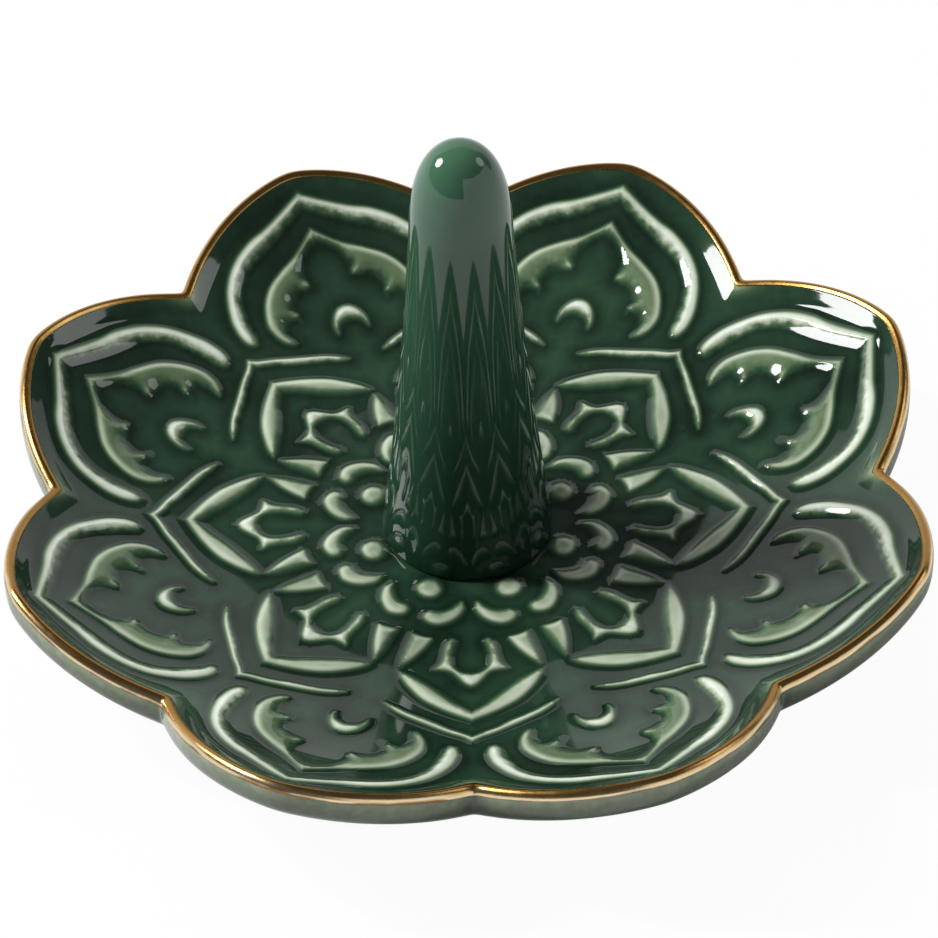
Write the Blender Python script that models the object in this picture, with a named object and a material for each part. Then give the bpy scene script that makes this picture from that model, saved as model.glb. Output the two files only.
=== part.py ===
"""Petal-rimmed ring holder: a relief dish on a foot ring, with a cone in the middle and a gilt rim.

Metres, +Z up. The origin is on the table under the middle of the dish, and a notch of the rim
faces -Y. One slice of the dish runs from the middle of a petal to the notch beside it. The slice
is drawn with the petal's middle along +Y, mirrored, and turned round the axis to every petal.
"""
import math

import bmesh
import bpy
from mathutils import Matrix, Vector
from mathutils.geometry import delaunay_2d_cdt

# plan of the rim's crest
PETALS = 8
PETAL_TIP_RADIUS = 0.052
NOTCH_DEPTH = 0.00714
FLANK_BOW = 0.00213

# bowl and lip
FLOOR_RADIUS = 0.0215
FLOOR_THICKNESS = 0.0042
BOWL_DEPTH = 0.0113
BOWL_POWER = 2.0
LIP_HEIGHT = 0.00045
LIP_WIDTH = 0.0016
LIP_SHOULDER_DROP = 0.0001

# outer wall, from the crest down and in to the foot
SKIRT_HEIGHT = 0.0046
SKIRT_BULGE = 0.00078
SKIRT_UNDERCUT = 0.0004
SKIRT_SHARES = ((0.24, 0.88), (0.40, 1.00), (0.63, 0.92), (0.85, 0.38))
UNDERSIDE_POWER = 1.6
UNDERSIDE_ROW_SHARES = (0.72, 0.42, 0.18, 0.0)

# foot ring
FOOT_OUTER_RADIUS = 0.027
FOOT_WIDTH = 0.0036
FOOT_HEIGHT = 0.002
FOOT_EDGE = 0.0005

# gilt band over the crest
GILT_THICKNESS = 0.00035
GILT_INWARD = 0.00045
GILT_OUTWARD = 0.00062
GILT_DROP = 0.0008
GILT_SHARES = ((-1.0, 0.10), (-0.22, 0.0), (0.56, 0.25), (1.0, 1.0))

# cone, measured up from the dish's floor
CONE_HEIGHT = 0.0539
CONE_RADIUS = 0.0094
CONE_NECK_RADIUS = 0.00546
CONE_HEEL = 0.001
DOME_HEIGHT = 0.012
DOME_POWER = 0.885
BORE_RADIUS = 0.0032
BORE_TOP_RADIUS = 0.0024
BORE_HEIGHT = 0.036

# seat of the cone in the floor, and the slip between them
SEAT_DEPTH = 0.0018
SLIP_THICKNESS = 0.0005
SLIP_MARGIN = 0.0006
VENT_RADIUS = 0.002

# raised figures of the relief
RELIEF_HEIGHT = 0.00065
RELIEF_SLOPE = 0.0002
MITRE_LIMIT = 1.6
DOT_RADIUS = 0.0014
GUIDE_CLEARANCE = 0.0006

# fits and facets
FIT_GAP = 0.0003
MERGE_DISTANCE = 0.000005
FLANK_STEPS = 6
SEAT_STEPS = 3
CONE_STEPS = 48
FOOT_STEPS = 64
HEEL_STEPS = 3
TAPER_STEPS = 5
DOME_STEPS = 6
DOT_STEPS = 4

# The figures are drawn on a petal whose tip is at (0, 1), with x across it and y along it, and
# they fill the bowl between two circles of the drawing: the cone's seat and the lip's toe.
DRAWN_SEAT_SHARE = 0.168
DRAWN_TOE_SHARE = 0.9692

# Half outlines, from the middle line round to it again. These lie on the petal's middle:
OGEE_SHARES = (
    (0, 0.958), (0.075, 0.923), (0.150, 0.889), (0.210, 0.839), (0.247, 0.768), (0.2535, 0.705),
    (0.238, 0.664), (0.222, 0.661), (0.2215, 0.720), (0.206, 0.800), (0.150, 0.854),
    (0.075, 0.896), (0, 0.938))
LEAF_SHARES = (
    (0, 0.884), (0.060, 0.8365), (0.125, 0.796), (0.168, 0.741), (0.178, 0.695), (0.163, 0.652),
    (0.139, 0.6365), (0.147, 0.672), (0.132, 0.697), (0.106, 0.7015), (0.110, 0.733),
    (0.085, 0.758), (0.053, 0.766), (0.055, 0.806), (0.027, 0.848), (0, 0.861))
CRESCENT_SHARES = (
    (0, 0.697), (0.022, 0.688), (0.036, 0.664), (0.036, 0.634), (0.027, 0.655), (0, 0.667))

# and these on the line through the notch:
RIDGE_SHARES = (
    (0, 0.675), (0.050, 0.642), (0.110, 0.602), (0.155, 0.568), (0.177, 0.538), (0.146, 0.562),
    (0.105, 0.590), (0.050, 0.629), (0, 0.661))
TWIN_LEAF_SHARES = (
    (0, 0.604), (0.065, 0.564), (0.110, 0.523), (0.137, 0.480), (0.147, 0.447), (0.105, 0.475),
    (0.055, 0.524), (0, 0.579))
CROWN_SHARES = (
    (0, 0.489), (0.022, 0.469), (0.042, 0.444), (0.073, 0.437), (0.058, 0.408), (0.051, 0.370),
    (0.036, 0.352), (0.037, 0.383), (0.041, 0.412), (0.027, 0.444), (0, 0.454))

# Whole outlines, beside the petal's middle:
WEDGE_SHARES = (
    (0.028, 0.445), (0.050, 0.395), (0.0595, 0.349), (0.016, 0.3495), (0.018, 0.405))
COMMA_SHARES = (
    (0.077, 0.227), (0.088, 0.255), (0.075, 0.290), (0.045, 0.310), (0.020, 0.301),
    (0.018, 0.279), (0.048, 0.269), (0.068, 0.245))
DOT_RING_SHARE = 0.2155

# Points of bare floor that carry the bowl's curve: along the two middle lines, and between them.
PETAL_LINE_SHARES = (0.91, 0.80, 0.735, 0.60, 0.54, 0.48, 0.33)
NOTCH_LINE_SHARES = (0.77, 0.72, 0.635, 0.535, 0.40, 0.33, 0.25)
OPEN_FLOOR_SHARES = ((0.09, 0.64), (0.05, 0.715), (0.07, 0.53), (0.03, 0.56), (0.09, 0.36))

HALF_SECTOR = math.pi / PETALS
NOTCH_SIDE = Vector((math.cos(HALF_SECTOR), -math.sin(HALF_SECTOR)))
CONE_CONTACT_RADIUS = CONE_RADIUS - CONE_HEEL
SEAT_RADIUS = CONE_CONTACT_RADIUS + FIT_GAP
FOOT_REACH = FOOT_OUTER_RADIUS + FOOT_EDGE
UNDERSIDE_Z = FOOT_HEIGHT + FIT_GAP
FLOOR_Z = UNDERSIDE_Z + FLOOR_THICKNESS
SEAT_Z = FLOOR_Z - SEAT_DEPTH
SLIP_Z = SEAT_Z + FIT_GAP
CONE_Z = SLIP_Z + SLIP_THICKNESS + FIT_GAP


def new_object(name, bm, colour, roughness, metallic=0.0):
    """Adds the finished mesh as an object with a material of its own."""
    bmesh.ops.remove_doubles(bm, verts=bm.verts, dist=MERGE_DISTANCE)
    bmesh.ops.recalc_face_normals(bm, faces=bm.faces)
    mesh = bpy.data.meshes.new(name)
    bm.to_mesh(mesh)
    bm.free()
    mesh.shade_smooth()
    mesh.set_sharp_from_angle(angle=math.radians(35))
    material = bpy.data.materials.new(name)
    material.use_nodes = True
    shader = material.node_tree.nodes["Principled BSDF"]
    shader.inputs["Base Color"].default_value = (*colour, 1.0)
    shader.inputs["Roughness"].default_value = roughness
    shader.inputs["Metallic"].default_value = metallic
    mesh.materials.append(material)
    bpy.context.scene.collection.objects.link(bpy.data.objects.new(name, mesh))


def turned(profile, steps, closed):
    """Spins a profile of (radius, height) points round the axis."""
    bm = bmesh.new()
    verts = [bm.verts.new((radius, 0, z)) for radius, z in profile]
    pairs = list(zip(verts, verts[1:]))
    if closed:
        pairs.append((verts[-1], verts[0]))
    edges = [bm.edges.new(pair) for pair in pairs]
    bmesh.ops.spin(bm, geom=verts + edges, cent=(0, 0, 0), axis=(0, 0, 1), angle=math.tau,
                   steps=steps)
    return bm


def slice_to_whole(bm):
    """Mirrors the slice in its petal's middle, then turns it round to every petal."""
    bmesh.ops.remove_doubles(bm, verts=bm.verts, dist=MERGE_DISTANCE)
    mirrored = bmesh.ops.duplicate(bm, geom=bm.verts[:] + bm.edges[:] + bm.faces[:])
    copies = [item for item in mirrored["geom"] if isinstance(item, bmesh.types.BMVert)]
    bmesh.ops.scale(bm, verts=copies, vec=(-1, 1, 1))
    flipped = [item for item in mirrored["geom"] if isinstance(item, bmesh.types.BMFace)]
    bmesh.ops.reverse_faces(bm, faces=flipped)
    first = Matrix.Rotation(HALF_SECTOR - math.pi, 3, "Z")
    bmesh.ops.rotate(bm, verts=bm.verts, cent=(0, 0, 0), matrix=first)
    bmesh.ops.spin(bm, geom=bm.verts[:] + bm.edges[:] + bm.faces[:], cent=(0, 0, 0),
                   axis=(0, 0, 1), angle=2 * HALF_SECTOR * (PETALS - 1), steps=PETALS - 1,
                   use_duplicate=True)


def at_angle(radius, angle):
    """A plan point at this angle from the petal's middle."""
    return Vector((radius * math.sin(angle), radius * math.cos(angle)))


def arc(radius):
    return [at_angle(radius, HALF_SECTOR * step / SEAT_STEPS) for step in range(SEAT_STEPS + 1)]


def bowl_z(radius):
    run = max(0.0, (radius - FLOOR_RADIUS) / (PETAL_TIP_RADIUS - FLOOR_RADIUS))
    return FLOOR_Z + (BOWL_DEPTH - LIP_HEIGHT) * run ** BOWL_POWER


def underside_z(radius):
    tip = FLOOR_Z + BOWL_DEPTH - SKIRT_HEIGHT
    run = max(0.0, (radius - FOOT_REACH) / (PETAL_TIP_RADIUS - SKIRT_UNDERCUT - FOOT_REACH))
    return UNDERSIDE_Z + (tip - UNDERSIDE_Z) * run ** UNDERSIDE_POWER


def flank(offset):
    """Points along a petal's flank, from its tip to its notch, moved outwards in plan.

    The crest is an arc from the tip to the notch, and every moved line shares its centre.
    """
    tip = at_angle(PETAL_TIP_RADIUS, 0)
    notch = at_angle(PETAL_TIP_RADIUS - NOTCH_DEPTH, HALF_SECTOR)
    chord = notch - tip
    arc_radius = (chord.length_squared / 4 + FLANK_BOW ** 2) / (2 * FLANK_BOW)
    inward = Vector((chord.y, -chord.x)).normalized()
    centre = (tip + notch) / 2 + inward * (arc_radius - FLANK_BOW)
    reach = arc_radius + offset
    start = math.asin(-centre.x / reach)
    end = HALF_SECTOR + math.asin(-centre.dot(NOTCH_SIDE) / reach)
    points = []
    for step in range(FLANK_STEPS + 1):
        points.append(centre + at_angle(reach, start + (end - start) * step / FLANK_STEPS))
    return points


def below_crest(offset, drop):
    """The line that runs this far outside the crest and this far below it."""
    crest = [bowl_z(point.length) + LIP_HEIGHT for point in flank(0)]
    return [Vector((p.x, p.y, z - drop)) for p, z in zip(flank(offset), crest)]


def on_surface(points, z_of_radius):
    return [Vector((p.x, p.y, z_of_radius(p.length))) for p in points]


def strip(bm, rows):
    """Joins each row of points to the next one with faces."""
    made = [[bm.verts.new(point) for point in row] for row in rows]
    for row, following in zip(made, made[1:]):
        for i in range(len(row) - 1):
            bm.faces.new((row[i], row[i + 1], following[i + 1], following[i]))


def on_bowl(drawn):
    """Moves a drawn point to its place between the cone's seat and the toe of the lip."""
    run = (drawn.length - DRAWN_SEAT_SHARE) / (DRAWN_TOE_SHARE - DRAWN_SEAT_SHARE)
    radius = SEAT_RADIUS + run * (PETAL_TIP_RADIUS - LIP_WIDTH - SEAT_RADIUS)
    return drawn * (radius / drawn.length)


def grown(outline, distance):
    """Moves a closed outline outwards, with its corners mitred as far as the limit."""
    following = outline[1:] + outline[:1]
    area = sum(a.x * b.y - b.x * a.y for a, b in zip(outline, following))
    outwards = distance if area > 0 else -distance
    moved = []
    for i, point in enumerate(outline):
        before = (point - outline[i - 1]).normalized()
        after = (following[i] - point).normalized()
        normal = Vector((before.y + after.y, -before.x - after.x))
        mitre = 2 / normal.length if normal.length * MITRE_LIMIT > 2 else MITRE_LIMIT
        moved.append(point + normal.normalized() * outwards * mitre)
    return moved


def half_figure(shares, on_notch=False):
    """The base and top outlines of a raised figure that the petal's middle or notch divides."""
    half = [on_bowl(Vector(share)) for share in shares]
    whole = half + [Vector((-p.x, p.y)) for p in half[-2:0:-1]]
    outlines = []
    for distance in (RELIEF_SLOPE, -RELIEF_SLOPE):
        points = grown(whole, distance)[:len(half)]
        points[0].x = points[-1].x = 0
        if on_notch:
            points = [at_angle(p.y, HALF_SECTOR) - NOTCH_SIDE * p.x for p in points]
        outlines.append(points)
    return outlines


def whole_figure(shares):
    outline = [on_bowl(Vector(share)) for share in shares]
    return [grown(outline, distance) for distance in (RELIEF_SLOPE, -RELIEF_SLOPE)]


def dot_figure():
    middle = on_bowl(Vector((0, DOT_RING_SHARE)))
    outlines = []
    for distance in (RELIEF_SLOPE, -RELIEF_SLOPE):
        turns = [math.pi * step / DOT_STEPS for step in range(DOT_STEPS + 1)]
        points = [middle + at_angle(DOT_RADIUS + distance, turn) for turn in turns]
        points[0].x = points[-1].x = 0
        outlines.append(points)
    return outlines


def is_bare(point, outlines):
    """Whether a plan point is outside every closed outline and clear of its sides."""
    for outline in outlines:
        inside = False
        for a, b in zip(outline, outline[1:] + outline[:1]):
            side = b - a
            along = max(0, min(1, (point - a).dot(side) / side.length_squared))
            if (a + side * along - point).length < GUIDE_CLEARANCE:
                return False
            if (a.y > point.y) != (b.y > point.y):
                if point.x < a.x + side.x * (point.y - a.y) / side.y:
                    inside = not inside
        if inside:
            return False
    return True


def guide_points(outlines):
    drawn = [at_angle(share, 0) for share in PETAL_LINE_SHARES]
    drawn += [at_angle(share, HALF_SECTOR) for share in NOTCH_LINE_SHARES]
    drawn += [Vector(share) for share in OPEN_FLOOR_SHARES]
    return [point for point in map(on_bowl, drawn) if is_bare(point, outlines)]


def triangles(bm, points, edges, z_of_origin):
    """Fills plan edges with triangles, and gives each point the height its origin asks for."""
    flat, _, faces, origins, _, _ = delaunay_2d_cdt(points, edges, [], 1, MERGE_DISTANCE / 10)
    verts = []
    for place, origin in zip(flat, origins):
        verts.append(bm.verts.new((place.x, place.y, z_of_origin(place.length, origin))))
    for face in faces:
        bm.faces.new([verts[i] for i in face])


def relief(bm):
    """The bowl's inside with its raised figures, cut into triangles along every outline."""
    points, raised, edges = [], [], []

    def draw(chain, height, closed=False):
        first = len(points)
        points.extend(chain)
        raised.extend([height] * len(chain))
        edges.extend((first + i, first + i + 1) for i in range(len(chain) - 1))
        if closed:
            edges.append((first + len(chain) - 1, first))

    halves = [half_figure(shares) for shares in (OGEE_SHARES, LEAF_SHARES, CRESCENT_SHARES)]
    halves += [half_figure(shares, on_notch=True)
               for shares in (RIDGE_SHARES, TWIN_LEAF_SHARES, CROWN_SHARES)]
    halves.append(dot_figure())
    wholes = [whole_figure(shares) for shares in (WEDGE_SHARES, COMMA_SHARES)]
    for figures, closed in ((halves, False), (wholes, True)):
        for base, top in figures:
            draw(base, 0, closed)
            draw(top, RELIEF_HEIGHT, closed)
    draw(flank(-LIP_WIDTH), 0)
    draw(arc(SEAT_RADIUS), 0)
    for point in guide_points([base for base, top in halves + wholes]):
        draw([point], 0)

    # the slice's two straight sides run through every point that lies on them
    for off_side in (lambda p: p.x, lambda p: p.dot(NOTCH_SIDE)):
        side = [i for i, p in enumerate(points) if abs(off_side(p)) < MERGE_DISTANCE]
        side.sort(key=lambda i: points[i].length)
        edges.extend(zip(side, side[1:]))

    def height(radius, origin):
        return bowl_z(radius) + (raised[origin[0]] if origin else 0)

    triangles(bm, points, edges, height)


def gilt_section():
    """The gilt band's section as (outside the crest, below it): its face, then its back."""
    face = []
    for across, down in GILT_SHARES:
        reach = GILT_OUTWARD if across > 0 else GILT_INWARD
        face.append((across * reach, down * GILT_DROP))
    shoulder, crest, edge, hem = face
    back = [
        (hem[0] - GILT_THICKNESS, hem[1]),
        (edge[0] - GILT_THICKNESS, edge[1] + GILT_THICKNESS / 2),
        (crest[0], crest[1] + GILT_THICKNESS),
        (shoulder[0], crest[1] + GILT_THICKNESS)]
    return face, back


def lip_rows():
    """The lip from its toe over the shoulder, under the gilt band and out to its ledge."""
    (shoulder, _, _, hem), (hem_back, edge_back, _, shoulder_back) = gilt_section()
    wall = shoulder[0] - FIT_GAP
    bed = shoulder_back[1] + FIT_GAP
    ledge = hem[1] + FIT_GAP
    rows = [on_surface(flank(-LIP_WIDTH), bowl_z)]
    rows.append(below_crest(wall, LIP_SHOULDER_DROP))
    rows.append(below_crest(wall, bed))
    rows.append(below_crest(edge_back[0] - FIT_GAP, bed))
    rows.append(below_crest(hem_back[0] - FIT_GAP, ledge))
    return rows


def skirt_rows():
    """The outer wall, round under its edge and in to the foot."""
    rows = [below_crest(SKIRT_BULGE * out, SKIRT_HEIGHT * down) for down, out in SKIRT_SHARES]
    turn = flank(-SKIRT_UNDERCUT)
    rows.append(on_surface(turn, underside_z))
    for share in UNDERSIDE_ROW_SHARES:
        row = [p.normalized() * (FOOT_REACH + share * (p.length - FOOT_REACH)) for p in turn]
        rows.append(on_surface(row, underside_z))
    return rows


def make_dish():
    bm = bmesh.new()
    relief(bm)
    rows = lip_rows() + skirt_rows()
    strip(bm, rows)
    seat = arc(SEAT_RADIUS)
    vent = arc(VENT_RADIUS)
    levels = ((seat, FLOOR_Z), (seat, SEAT_Z), (vent, SEAT_Z), (vent, UNDERSIDE_Z))
    strip(bm, [on_surface(points, lambda radius, z=z: z) for points, z in levels])
    rim = [p.xy for p in rows[-1]] + vent[::-1]
    edges = [(i, (i + 1) % len(rim)) for i in range(len(rim))]
    triangles(bm, rim, edges, lambda radius, origin: UNDERSIDE_Z)
    slice_to_whole(bm)
    new_object("dish", bm, (0.035, 0.105, 0.07), 0.12)


def make_gold_rim():
    face, back = gilt_section()
    rows = [below_crest(offset, drop) for offset, drop in face + back]
    bm = bmesh.new()
    strip(bm, rows + rows[:1])
    slice_to_whole(bm)
    new_object("gold_rim", bm, (0.62, 0.37, 0.10), 0.2, metallic=1.0)


def make_cone():
    neck = CONE_HEIGHT - DOME_HEIGHT
    profile = [(0, FLOOR_Z + CONE_HEIGHT)]
    for step in range(DOME_STEPS - 1, 0, -1):
        angle = math.pi / 2 * step / DOME_STEPS
        radius = CONE_NECK_RADIUS * math.cos(angle) ** DOME_POWER
        profile.append((radius, FLOOR_Z + neck + DOME_HEIGHT * math.sin(angle)))
    for step in range(TAPER_STEPS + 1):
        run = step / TAPER_STEPS
        radius = CONE_NECK_RADIUS + (CONE_RADIUS - CONE_NECK_RADIUS) * run
        profile.append((radius, FLOOR_Z + neck + (CONE_HEEL - neck) * run))
    for step in range(1, HEEL_STEPS + 1):
        angle = math.pi / 2 * step / HEEL_STEPS
        profile.append((CONE_CONTACT_RADIUS + CONE_HEEL * math.cos(angle),
                        FLOOR_Z + CONE_HEEL * (1 - math.sin(angle))))
    profile += [
        (CONE_CONTACT_RADIUS, CONE_Z),
        (BORE_RADIUS, CONE_Z),
        (BORE_TOP_RADIUS, CONE_Z + BORE_HEIGHT - BORE_TOP_RADIUS),
        (BORE_TOP_RADIUS / 2, CONE_Z + BORE_HEIGHT - BORE_TOP_RADIUS / 4),
        (0, CONE_Z + BORE_HEIGHT)]
    new_object("ring_cone", turned(profile, CONE_STEPS, closed=False), (0.03, 0.12, 0.075), 0.08)


def make_slip():
    inner = BORE_RADIUS + SLIP_MARGIN
    outer = CONE_CONTACT_RADIUS - SLIP_MARGIN
    top = SLIP_Z + SLIP_THICKNESS
    profile = [(inner, SLIP_Z), (outer, SLIP_Z), (outer, top), (inner, top)]
    new_object("cone_slip_joint", turned(profile, CONE_STEPS, closed=True), (0.5, 0.46, 0.4), 0.9)


def make_foot():
    inner = FOOT_OUTER_RADIUS - FOOT_WIDTH
    profile = [
        (inner + FOOT_EDGE, 0), (FOOT_OUTER_RADIUS - FOOT_EDGE, 0),
        (FOOT_OUTER_RADIUS, FOOT_EDGE), (FOOT_OUTER_RADIUS, FOOT_HEIGHT),
        (inner, FOOT_HEIGHT), (inner, FOOT_EDGE)]
    new_object("foot_ring", turned(profile, FOOT_STEPS, closed=True), (0.62, 0.56, 0.47), 0.85)


def main():
    for obj in list(bpy.data.objects):
        bpy.data.objects.remove(obj, do_unlink=True)
    make_dish()
    make_gold_rim()
    make_cone()
    make_slip()
    make_foot()


main()
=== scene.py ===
# Looks of the petal-rimmed ring holder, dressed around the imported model.
import math

import bpy
import numpy as np
from mathutils import Matrix, Vector
from mathutils.geometry import delaunay_2d_cdt


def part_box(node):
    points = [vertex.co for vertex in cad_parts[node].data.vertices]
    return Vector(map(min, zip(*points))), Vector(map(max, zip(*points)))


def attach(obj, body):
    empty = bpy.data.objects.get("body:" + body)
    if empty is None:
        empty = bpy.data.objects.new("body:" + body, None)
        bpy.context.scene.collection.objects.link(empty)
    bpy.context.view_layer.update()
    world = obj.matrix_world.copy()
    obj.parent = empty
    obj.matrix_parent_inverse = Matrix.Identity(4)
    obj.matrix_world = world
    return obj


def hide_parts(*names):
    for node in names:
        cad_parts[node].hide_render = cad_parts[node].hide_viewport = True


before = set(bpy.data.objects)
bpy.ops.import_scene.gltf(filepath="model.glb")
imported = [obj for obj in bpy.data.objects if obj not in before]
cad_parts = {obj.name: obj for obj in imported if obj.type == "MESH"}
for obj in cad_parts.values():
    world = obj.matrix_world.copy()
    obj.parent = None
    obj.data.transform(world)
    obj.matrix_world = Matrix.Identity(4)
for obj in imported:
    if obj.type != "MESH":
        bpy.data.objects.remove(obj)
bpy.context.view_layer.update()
mm = 0.001
nudge = 0.002 * mm  # closer than this, points count as one


# helpers for meshes

def buildMesh(name, verts, faces, materials, slots=None, normals=None, tones=None):
    mesh = bpy.data.meshes.new(name)
    mesh.from_pydata([tuple(v) for v in verts], [], [tuple(f) for f in faces])
    for material in materials:
        mesh.materials.append(material)
    if slots is not None:
        mesh.polygons.foreach_set("material_index", np.asarray(slots, np.int32))
    if tones is not None:
        for layerName, values in zip(("tone", "loose"), np.asarray(tones, np.float32).T):
            layer = mesh.attributes.new(layerName, "FLOAT", "POINT")
            layer.data.foreach_set("value", np.ascontiguousarray(values))
    mesh.shade_smooth()
    mesh.update()
    if normals is not None:
        mesh.normals_split_custom_set_from_vertices([tuple(n) for n in normals])
    obj = bpy.data.objects.new(name, mesh)
    bpy.context.scene.collection.objects.link(obj)
    return obj


def stripFaces(rows, columns, close=False):
    # quads between rows of equally many points, numbered row after row
    grid = np.arange(rows * columns).reshape(rows, columns)
    if close:
        grid = np.column_stack([grid, grid[:, :1]])
    return np.stack([grid[:-1, :-1], grid[:-1, 1:], grid[1:, 1:], grid[1:, :-1]], -1).reshape(-1, 4)


def splineThrough(control, steps):
    # a Catmull-Rom curve through the rows of control, from its second row to its last but one;
    # steps is one number, or one for each span
    control = np.asarray(control, float)
    made = []
    for i, count in enumerate(np.broadcast_to(steps, len(control) - 3), 1):
        a, b, c, d = control[i - 1:i + 3]
        for t in np.arange(count) / count:
            made.append(0.5 * (2 * b + (c - a) * t + (2 * a - 5 * b + 4 * c - d) * t ** 2
                               + (3 * b - 3 * c + d - a) * t ** 3))
    made.append(control[-2])
    return np.array(made)


def padded(control):
    # doubles the first and last points' reach so that splineThrough covers every point
    control = np.asarray(control, float)
    return np.concatenate([[2 * control[0] - control[1]], control, [2 * control[-1] - control[-2]]])


def smooth(x):
    x = np.clip(x, 0, 1)
    return x * x * (3 - 2 * x)


def near(distance, reach):
    # 1 at no distance, falling away softly round the reach
    return np.exp(-(distance / reach) ** 2)


def triangulated(points, edges):
    # fills the outline that the edges make with triangles, through all the points inside it
    onlyInside, epsilon = 1, 1e-9
    points = [Vector(p) for p in points]
    flat, _, faces, _, _, _ = delaunay_2d_cdt(points, edges, [], onlyInside, epsilon)
    return np.array([tuple(p) for p in flat]), faces


def buildTurned(name, profile, steps, material, sharpFrom=60):
    # spins (radius, height) points round the axis; a radius of zero becomes one point, and edges
    # that turn by more than sharpFrom degrees stay sharp
    verts, faces, rings = [], [], []
    angles = np.arange(steps) * math.tau / steps
    for radius, z in profile:
        first = len(verts)
        if radius < nudge:
            verts.append((0, 0, z))
            rings.append([first] * steps)
        else:
            verts += [(radius * math.cos(a), radius * math.sin(a), z) for a in angles]
            rings.append(list(range(first, first + steps)))
    for low, high in zip(rings, rings[1:]):
        for i in range(steps):
            j = (i + 1) % steps
            face = []
            for corner in (low[i], low[j], high[j], high[i]):
                if corner not in face:
                    face.append(corner)
            faces.append(face)
    obj = buildMesh(name, verts, faces, [material])
    obj.data.set_sharp_from_angle(angle=math.radians(sharpFrom))
    return obj


# helpers for materials

def newMaterial(name, **sockets):
    material = bpy.data.materials.new(name)
    material.use_nodes = True
    shader = material.node_tree.nodes["Principled BSDF"]
    for socket, value in sockets.items():
        shader.inputs[socket].default_value = value
    return material, material.node_tree, shader


def addNode(tree, kind, **settings):
    node = tree.nodes.new(kind)
    for key, value in settings.items():
        if key in node.inputs:
            node.inputs[key].default_value = value
        else:
            setattr(node, key, value)
    return node


def noise(tree, scale, detail):
    node = addNode(tree, "ShaderNodeTexNoise", Scale=scale, Detail=detail)
    place = addNode(tree, "ShaderNodeTexCoord").outputs["Object"]
    tree.links.new(place, node.inputs["Vector"])
    return node.outputs["Fac"]


def math2(tree, operation, a, b):
    node = addNode(tree, "ShaderNodeMath", operation=operation)
    for socket, value in zip(node.inputs, (a, b)):
        if isinstance(value, (int, float)):
            socket.default_value = value
        else:
            tree.links.new(value, socket)
    return node.outputs[0]


def spread(tree, value, low, high, start=0.0, end=1.0):
    # maps start..end to low..high
    node = addNode(tree, "ShaderNodeMapRange")
    for socket, number in (("From Min", start), ("From Max", end), ("To Min", low), ("To Max", high)):
        node.inputs[socket].default_value = number
    tree.links.new(value, node.inputs["Value"])
    return node.outputs[0]


def clouded(tree, value, scale, detail, strength):
    # a tone with noise round zero added to it
    cloud = math2(tree, "SUBTRACT", noise(tree, scale, detail), 0.5)
    return math2(tree, "ADD", value, math2(tree, "MULTIPLY", cloud, strength))


def colourRamp(tree, value, stops):
    node = addNode(tree, "ShaderNodeValToRGB")
    elements = node.color_ramp.elements
    while len(elements) < len(stops):
        elements.new(0.5)
    for element, (place, colour) in zip(elements, stops.items()):
        element.position = place
        element.color = (*colour, 1)
    tree.links.new(value, node.inputs["Fac"])
    return node.outputs["Color"]


def finishSurface(tree, shader, colour, roughness, bumps):
    # roughness is noise scale and detail, lowest and highest; bumps is scale, detail, strength, depth
    tree.links.new(colour, shader.inputs["Base Color"])
    scale, detail, low, high = roughness
    tree.links.new(spread(tree, noise(tree, scale, detail), low, high), shader.inputs["Roughness"])
    scale, detail, strength, depth = bumps
    node = addNode(tree, "ShaderNodeBump", Strength=strength, Distance=depth)
    tree.links.new(noise(tree, scale, detail), node.inputs["Height"])
    tree.links.new(node.outputs["Normal"], shader.inputs["Normal"])


# the dish

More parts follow.
